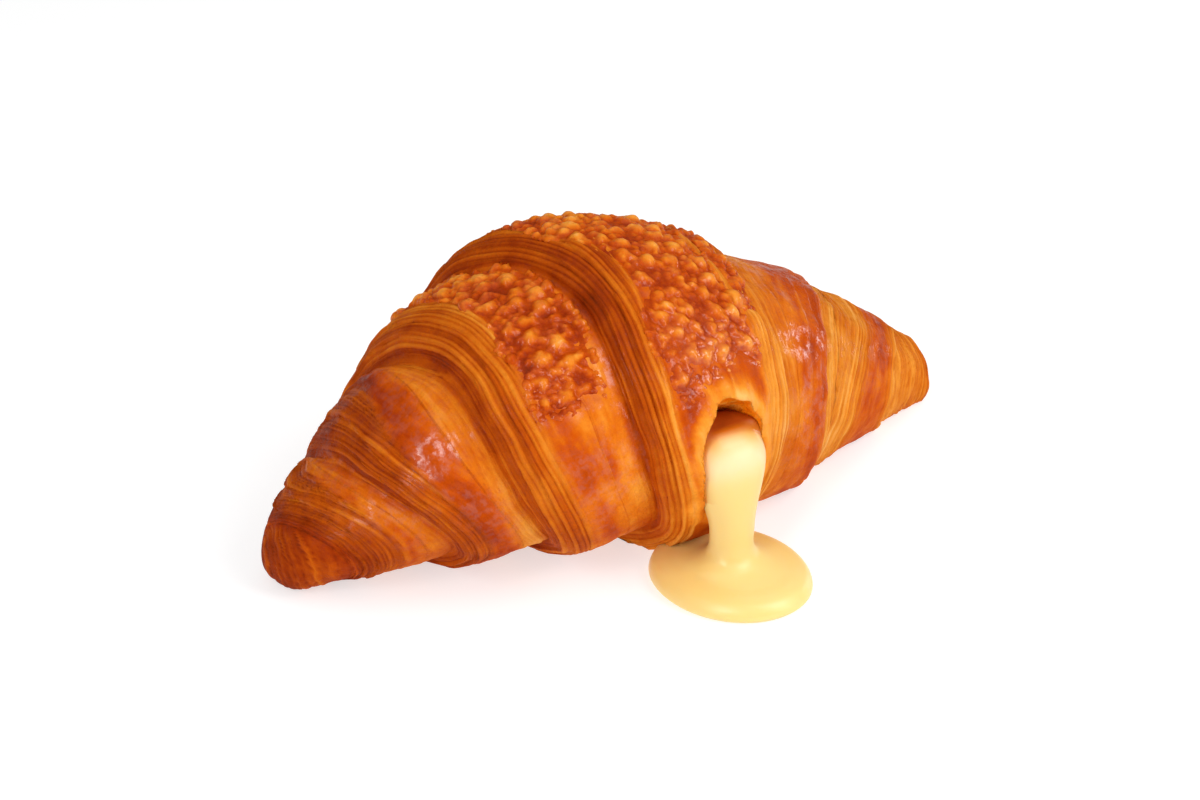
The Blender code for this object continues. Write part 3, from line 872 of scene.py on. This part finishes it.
def sheet_faces(cells, number):
    """Faces of a closed sheet over the chosen cells: top, underside and the walls round it."""
    count = number.size
    i, j = np.nonzero(cells)
    upper = np.stack([number[i, j], number[i, j + 1], number[i + 1, j + 1], number[i + 1, j]], -1)
    faces = [upper, upper[:, ::-1] + count]
    padded = np.pad(cells, 1)
    rows, columns = cells.shape
    for (down, across), a, b in CELL_SIDES:
        neighbour = padded[1 + down : 1 + down + rows, 1 + across : 1 + across + columns]
        i, j = np.nonzero(cells & ~neighbour)
        first = number[i + a[0], j + a[1]]
        second = number[i + b[0], j + b[1]]
        faces.append(np.stack([second, first, first + count, second + count], -1))
    return np.concatenate(faces)


def make_crumbs():
    """The crumbs as one closed sheet over the topped regions, and the looks of its points, whose heights
    also set the painted shade between crumbs.
    """
    xs = np.arange(CRUMB_LEFT, CRUMB_RIGHT, CRUMB_STEP)
    turns = np.arange(CRUMB_FROM, CRUMB_TO, CRUMB_TURN)
    x, angle = np.meshgrid(xs, turns, indexing="ij")
    base = on_dough(x, angle, dough_radius(x, angle) - crumb_bed(x, angle))
    normals = np.cross(np.gradient(base, axis=1), np.gradient(base, axis=0))
    normals /= np.linalg.norm(normals, axis=-1, keepdims=True)
    where = apart(base)
    shifted = base + CRUMB_WANDER * np.stack([waves(*values, *where) for values in CRUMB_WANDERS], -1)
    inside = topped(x, angle) + field(EDGE_WANDER, *where)
    height = smooth(*SHEET_EDGE, inside) - SHEET_SUNK
    covered, tones = heap_crumbs(height, inside, base, shifted)
    height += field(CRUMB_GRAIN, *where) * (height > GRAIN_FROM)
    for axis in (0, 1):
        beside = np.roll(height, 1, axis) + np.roll(height, -1, axis)
        height = SMOOTH_KEPT * height + SMOOTH_SHARED * beside

    keep = (inside > SHEET_REACH) | (covered >= 0)
    cells = keep[:-1, :-1] & keep[1:, :-1] & keep[:-1, 1:] & keep[1:, 1:]
    faces = sheet_faces(cells, np.arange(x.size).reshape(x.shape))
    used, compact = np.unique(faces, return_inverse=True)
    top = base + normals * height[..., None]
    bottom = base - normals * SHEET_DEPTH
    points = np.concatenate([top.reshape(-1, 3), bottom.reshape(-1, 3)])[used]
    crumbs = mesh_from("cheese_crumbs", points, compact.reshape(-1, 4).tolist())
    turn_outwards(crumbs)

    # The sheet's edge counts as higher than it is, so that the painted shade between crumbs doesn't darken
    # it.
    edge = EDGE_SHADE * smooth(*EDGE_FROM, inside)
    along = x / GLAZE_RADIUS
    down = (angle - GLAZE_ANGLE) * RADIAN / GLAZE_RADIUS
    looks = (
        ("height", np.maximum(height, edge + EDGE_SHARE * height), BELOW),
        ("glaze", np.exp(-(along**2) - down**2), 0.0),
        ("tone", np.array(tones + [0.0])[covered], 0.0),
    )
    for name, values, underside in looks:
        attribute(crumbs, name, np.concatenate([values.ravel(), np.full(x.size, underside)])[used])
    crumbs.data.shade_smooth()
    return crumbs


# The cheese that runs out, and where its colours change, in millimetres: painted shade going into the
# hole, and a painted highlight just below its mouth.
HOLE_SHADE_FROM = (MOUTH - 6.0, MOUTH + 2.2)
HOLE_SHADE_ABOVE = 22
PAINTED_HIGHLIGHT_HEIGHT = 31.5
PAINTED_HIGHLIGHT_REACH = 3.6
PAINTED_HIGHLIGHT_FROM = (MOUTH, MOUTH - 3)
RUN_FROM = (5.0, 9.0)


def smooth_rings(rings, count):
    """More rings along smooth curves through the given ones."""
    rings = np.array(rings)
    steps = np.linalg.norm(np.diff(rings, axis=0), axis=-1).mean(axis=1)
    stations = np.concatenate([[0], np.cumsum(steps)])
    places = np.linspace(0, stations[-1], count)
    i = np.clip(np.searchsorted(stations, places) - 1, 0, len(stations) - 2)
    span = stations[i + 1] - stations[i]
    t = ((places - stations[i]) / span)[:, None, None]
    slopes = np.gradient(rings, stations, axis=0)
    span = span[:, None, None]
    return (
        (2 * t**3 - 3 * t**2 + 1) * rings[i]
        + (t**3 - 2 * t**2 + t) * span * slopes[i]
        + (3 * t**2 - 2 * t**3) * rings[i + 1]
        + (t**3 - t**2) * span * slopes[i + 1]
    )


def flow_rings():
    """Sections of the cheese from inside the roll, out of the hole and down to the pool."""
    rings = hole_rings(FILL_INSET, FLOW_DEPTHS, CHEESE_LEVEL)
    for number, (outer, inner, half_width) in enumerate(STREAM):
        power = max(2.0, HOLE_BLUNT + STREAM_BLUNT - BLUNT_FALL * number)
        outer, inner = np.array(outer), np.array(inner)
        middle = (outer + inner) / 2
        reach = (outer - inner) / 2
        y = middle[0] + reach[0] * blunt(np.cos(HOLE_ANGLES), power)
        z = middle[1] + reach[1] * blunt(np.cos(HOLE_ANGLES), power)
        x = COLUMN_X + (HOLE_X - COLUMN_X) * max(0.0, 1 - number / COLUMN_FROM)
        rings.append(np.stack([x + half_width * blunt(np.sin(HOLE_ANGLES), power), y, z], -1))
    along = np.array((cos(POOL_TURN), sin(POOL_TURN)))
    across = np.array((sin(POOL_TURN), -cos(POOL_TURN)))
    start = np.array((COLUMN_X, middle[0]))
    turned = (HOLE_ANGLES - POOL_TURN)[:, None]
    reach = along * POOL_RADII[0] * np.sin(turned) + across * POOL_RADII[1] * np.cos(turned)
    for z, share in POOL_RIM:
        centre = start + (np.array(POOL_CENTRE) - start) * min(1.0, share / POOL_SHIFTED)
        rings.append(np.concatenate([centre + share * reach, np.full((HOLE_SIDES, 1), z)], axis=1))
    return smooth_rings(rings, FLOW_RINGS)


def make_flow():
    """The cheese from the core of the roll to the pool, and where its colours change, with painted shade
    in the hole and a painted highlight below it.
    """
    flow = lofted("cheese_flow", flow_rings())
    co = coordinates(flow)
    co[:, 2] = np.maximum(co[:, 2], 0)
    flow.data.vertices.foreach_set("co", placed(co).ravel())
    boolean(flow, "UNION", [core("core", CORE_GAP)])
    _, y, z = apart(coordinates(flow))
    # Painted shade: the cheese turns deep orange and darker going into the hole.
    attribute(flow, "inside", smooth(*HOLE_SHADE_FROM, y) * (z > HOLE_SHADE_ABOVE))
    # Painted highlight: a paler band of cheese just below the mouth.
    attribute(flow, "pale", np.exp(-(((z - PAINTED_HIGHLIGHT_HEIGHT) / PAINTED_HIGHLIGHT_REACH) ** 2)) * smooth(*PAINTED_HIGHLIGHT_FROM, y))
    attribute(flow, "run", smooth(*RUN_FROM, z))
    flow.data.shade_smooth()
    return flow


# Materials. Colours are 0..255 as a screen shows them.
BAKE_RAMP = (
    (0.0, (250, 208, 142)), (0.2, (243, 176, 96)), (0.38, (228, 140, 42)), (0.52, (210, 106, 16)),
    (0.66, (188, 74, 3)), (0.82, (152, 47, 2)), (1.0, (96, 28, 4)),
)
WALL_RAMP = (
    (0.0, (248, 206, 140)), (0.2, (238, 176, 96)), (0.38, (226, 144, 52)), (0.52, (204, 114, 26)),
    (0.66, (178, 84, 12)), (0.82, (138, 52, 6)), (1.0, (88, 30, 6)),
)
BREAD_RAMP = ((0.3, (240, 108, 4)), (0.52, (248, 136, 14)), (0.75, (250, 176, 70)))
CHEESE_RAMP = ((0.3, (237, 206, 124)), (0.7, (239, 210, 134)))
HOLE_SHADE_RAMP = ((0.35, (222, 150, 30)), (0.6, (196, 104, 8)), (0.88, (150, 58, 2)))


def linear(colour):
    """A colour of 0..255 as a screen shows it, in Blender's own values."""
    values = [c / 255 for c in colour]
    return tuple(v / 12.92 if v <= 0.04045 else ((v + 0.055) / 1.055) ** 2.4 for v in values) + (1.0,)


class Nodes:
    """A material's nodes, with a short way to add and join them."""

    def __init__(self, name):
        self.material = bpy.data.materials.new(name)
        self.material.use_nodes = True
        self.tree = self.material.node_tree
        self.shader = self.tree.nodes["Principled BSDF"]

    def add(self, kind, inputs=(), **settings):
        node = self.tree.nodes.new(kind)
        for key, value in settings.items():
            setattr(node, key, value)
        for key, value in dict(inputs).items():
            self.feed(node.inputs[key], value)
        return node

    def feed(self, socket, value):
        """Joins another node's output to the socket, or sets a constant on it."""
        if isinstance(value, bpy.types.NodeSocket):
            self.tree.links.new(value, socket)
        else:
            socket.default_value = value

    def shade(self, **sockets):
        """Feeds the shader's own sockets, named with _ for a space."""
        for name, value in sockets.items():
            self.feed(self.shader.inputs[name.replace("_", " ")], value)

    def place(self):
        return self.add("ShaderNodeTexCoord").outputs["Object"]

    def attribute(self, name, output="Fac"):
        return self.add("ShaderNodeAttribute", attribute_name=name).outputs[output]

    def math(self, operation, a, b):
        return self.add("ShaderNodeMath", {0: a, 1: b}, operation=operation).outputs[0]

    def times(self, a, b):
        return self.math("MULTIPLY", a, b)

    def swing(self, value):
        """A value of 0..1 turned to one either side of 0."""
        return self.math("SUBTRACT", value, 0.5)

    def total(self, value, *others):
        """The value plus the others, each times its share."""
        for other, share in others:
            value = self.math("ADD", value, self.times(other, share))
        return value

    def scaled(self, value, low, high, out_low, out_high):
        names = ("Value", "From Min", "From Max", "To Min", "To Max")
        node = self.add("ShaderNodeMapRange", dict(zip(names, (value, low, high, out_low, out_high))))
        return node.outputs[0]

    def noise(self, vector, scale, detail, rough):
        inputs = {"Vector": vector, "Scale": scale, "Detail": detail, "Roughness": rough}
        return self.add("ShaderNodeTexNoise", inputs).outputs[0]

    def stretched_noise(self, vector, stretch, detail, rough):
        mapping = self.add("ShaderNodeMapping", {"Vector": vector, "Scale": stretch})
        return self.noise(mapping.outputs[0], 1.0, detail, rough)

    def ramp(self, value, stops):
        node = self.add("ShaderNodeValToRGB", {"Fac": value})
        points = node.color_ramp.elements
        while len(points) < len(stops):
            points.new(0.5)
        for point, (place, colour) in zip(points, stops):
            point.position = place
            point.color = linear(colour)
        return node.outputs[0]

    def mix(self, share, a, b):
        node = self.add("ShaderNodeMix", data_type="RGBA")
        for number, value in ((0, share), (6, a), (7, b)):
            self.feed(node.inputs[number], value)
        return node.outputs[2]

    def bump(self, height, distance, strength, before=None):
        inputs = {"Height": height, "Distance": distance, "Strength": strength}
        if before is not None:
            inputs["Normal"] = before
        return self.add("ShaderNodeBump", inputs).outputs[0]


def crust_material():
    """Baked dough: lines along the cut layers, streaks and egg wash on the crests, bread inside."""
    made = Nodes("baked_dough")
    place = made.place()
    grain = made.attribute("grain", "Vector")
    layers = made.attribute("layers")
    inner = made.attribute("inner")
    fine = made.stretched_noise(grain, (2.4, 0.05, 0.05), 4.0, 0.6)
    broad = made.stretched_noise(grain, (0.7, 0.03, 0.03), 2.0, 0.5)
    streak = made.stretched_noise(grain, (0.22, 0.06, 0.06), 3.0, 0.55)
    patch = made.noise(place, 90.0, 3.0, 0.55)
    speckle = made.noise(place, 700.0, 3.0, 0.6)
    # The bake attribute carries painted shade in the layer grooves; the noises add random tone.
    bake = made.total(
        made.attribute("bake"),
        (made.times(layers, made.swing(fine)), 0.17),
        (made.times(made.math("SUBTRACT", 1.0, layers), made.swing(streak)), 0.6),
        (made.times(layers, made.swing(broad)), 0.16),
        (made.swing(patch), 0.42),
        (made.swing(speckle), 0.12),
    )
    on_wall = made.scaled(layers, 0.3, 1.0, 0.0, 0.45)
    colour = made.mix(on_wall, made.ramp(bake, BAKE_RAMP), made.ramp(bake, WALL_RAMP))
    bread = made.noise(place, 420.0, 4.0, 0.65)

    wet = made.scaled(made.noise(place, 260.0, 3.0, 0.6), 0.38, 0.52, 0.05, 1.0)
    shine = made.times(made.attribute("gloss"), wet)
    shine = made.times(shine, made.scaled(speckle, 0.44, 0.54, 0.15, 1.1))

    cells = {"Vector": place, "Scale": 520.0}
    crackle = made.add("ShaderNodeTexVoronoi", cells, feature="DISTANCE_TO_EDGE").outputs[0]
    cracks = made.times(made.math("MINIMUM", crackle, 0.15), 0.5)
    relief = made.math("ADD", made.times(made.noise(place, 620.0, 3.0, 0.6), 0.7), cracks)
    normal = made.bump(relief, 0.00055, 0.9)
    normal = made.bump(made.times(fine, layers), 0.00035, 0.9, normal)
    normal = made.bump(made.times(bread, inner), 0.0012, 1.0, normal)
    made.shade(
        Base_Color=made.mix(inner, colour, made.ramp(bread, BREAD_RAMP)),
        Roughness=0.6,
        Specular_IOR_Level=0.02,
        Coat_Weight=made.times(shine, 0.4),
        Coat_IOR=1.85,
        Coat_Roughness=0.22,
        Normal=normal,
    )
    return made.material


def crumb_material():
    """Baked cheese, oily, with painted shade: lighter on the crumbs and darker between them."""
    made = Nodes("baked_cheese")
    place = made.place()
    height = made.attribute("height")
    # Painted shade: the colour darkens from the crumbs' tops down into the hollows between them.
    bake = made.total(
        made.scaled(height, 0.0, 1.5, 0.82, 0.44),
        (made.attribute("tone"), 0.07),
        (made.swing(made.noise(place, 110.0, 3.0, 0.55)), 0.5),
        (made.swing(made.noise(place, 900.0, 3.0, 0.6)), 0.2),
    )
    wet = made.scaled(made.noise(place, 300.0, 3.0, 0.6), 0.44, 0.58, 0.05, 0.5)
    shine = made.times(wet, made.scaled(height, 0.2, 0.9, 0.2, 1.0))
    shine = made.total(shine, (made.attribute("glaze"), 0.9))
    made.shade(
        Base_Color=made.ramp(bake, BAKE_RAMP),
        Roughness=0.5,
        Specular_IOR_Level=0.05,
        Coat_Weight=made.times(shine, 0.45),
        Coat_IOR=1.85,
        Coat_Roughness=0.16,
        Subsurface_Weight=0.12,
        Subsurface_Radius=(1.0, 0.4, 0.15),
        Subsurface_Scale=0.0012,
        Normal=made.bump(made.noise(place, 1000.0, 3.0, 0.6), 0.0005, 0.8),
    )
    return made.material


def cheese_material():
    """Melted cheese: pale outside, with a painted highlight below the hole and painted shade, deep orange
    to dark, inside it.
    """
    made = Nodes("melted_cheese")
    place = made.place()
    inside = made.attribute("inside")
    colour = made.ramp(made.noise(place, 60.0, 2.0, 0.5), CHEESE_RAMP)
    colour = made.mix(made.attribute("run"), colour, linear((232, 200, 120)))
    # Painted highlight: paler, whiter cheese just below the mouth.
    colour = made.mix(made.attribute("pale"), colour, linear((240, 214, 164)))
    # Painted shade: deep orange to dark going into the hole.
    colour = made.mix(made.scaled(inside, 0.05, 0.5, 0.0, 1.0), colour, made.ramp(inside, HOLE_SHADE_RAMP))
    made.shade(
        Base_Color=colour,
        Roughness=0.36,
        Specular_IOR_Level=0.6,
        Subsurface_Weight=0.35,
        Subsurface_Radius=(1.0, 0.75, 0.35),
        Subsurface_Scale=0.003,
        Normal=made.bump(made.noise(place, 240.0, 2.0, 0.5), 0.00012, 0.6),
    )
    return made.material


def dress(obj, material, slot, *nodes):
    """Gives a piece its material, hangs it on the root and hides the parts that it stands for."""
    obj.data.materials.clear()
    obj.data.materials.append(material)
    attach(obj, "root")
    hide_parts(*nodes)


dress(make_crust(), crust_material(), "baked_dough", "croissant")
dress(make_crumbs(), crumb_material(), "baked_dough", "croissant")
dress(make_flow(), cheese_material(), "melted_cheese", "cheese_filling")


# Floor, light and camera. Each light: name, place, aim, size and power.
WHITE = (1, 1, 1, 1)
LIGHTS = (
    ("key", (0.4, -0.6, 0.75), (0, 0, 0.02), (0.5, 0.5), 4.9),
    ("front", (0.5, -0.68, 0.24), (0, 0, 0.03), (0.3, 0.2), 1.3),
    ("right", (0.86, 0.06, 0.14), (0, 0, 0.03), (0.15, 0.1), 0.55),
    ("low_left", (-0.7, -0.36, 0.12), (-0.05, 0, 0.02), (0.1, 0.1), 0.4),
    ("left", (-0.56, -0.4, 0.49), (0, 0, 0.03), (0.17, 0.44), 2.7),
)
AIM = (-3.7, 7.98, 26.9)
AZIMUTH, ELEVATION = np.radians((-30.4, 28.83))
DISTANCE = 499.2


def make_floor():
    """A pale, evenly lit floor just under the roll."""
    bpy.ops.mesh.primitive_plane_add(size=6, location=(0, 0, -0.0001))
    floor = bpy.context.object
    floor.name = "floor"
    made = Nodes("pale_floor")
    made.shade(
        Base_Color=linear((190, 190, 190)),
        Roughness=0.8,
        Emission_Color=WHITE,
        Emission_Strength=0.59,
    )
    floor.data.materials.append(made.material)


def add_object(name, data, place, towards):
    """A light or camera at a place, turned towards a direction."""
    added = bpy.data.objects.new(name, data)
    added.location = place
    added.rotation_mode = "QUATERNION"
    added.rotation_quaternion = towards.to_track_quat("-Z", "Y")
    bpy.context.scene.collection.objects.link(added)
    return added


def make_light(name, place, aim, size, power):
    data = bpy.data.lights.new(name, "AREA")
    data.shape = "RECTANGLE"
    data.size, data.size_y = size
    data.energy = power
    add_object(name, data, place, Vector(aim) - Vector(place))


def make_world():
    """White light from all round, brighter from above."""
    world = bpy.data.worlds.new("studio")
    world.use_nodes = True
    tree = world.node_tree
    back = tree.nodes["Background"]
    back.inputs["Color"].default_value = WHITE
    place = tree.nodes.new("ShaderNodeTexCoord")
    parts = tree.nodes.new("ShaderNodeSeparateXYZ")
    rise = tree.nodes.new("ShaderNodeMapRange")
    rise.inputs["To Min"].default_value = 0.05
    rise.inputs["To Max"].default_value = 0.72
    tree.links.new(place.outputs["Generated"], parts.inputs[0])
    tree.links.new(parts.outputs["Z"], rise.inputs["Value"])
    tree.links.new(rise.outputs[0], back.inputs["Strength"])
    bpy.context.scene.world = world


def make_camera():
    level = cos(ELEVATION)
    back = Vector((sin(AZIMUTH) * level, -cos(AZIMUTH) * level, sin(ELEVATION)))
    data = bpy.data.cameras.new("camera")
    data.lens = 69.6
    data.shift_x, data.shift_y = -0.0176, -0.0018
    data.clip_start = 0.01
    place = (Vector(AIM) + back * DISTANCE) * MM
    bpy.context.scene.camera = add_object("camera", data, place, -back)


make_floor()
make_world()
for light in LIGHTS:
    make_light(*light)
make_camera()
bpy.context.scene.view_settings.view_transform = "Standard"
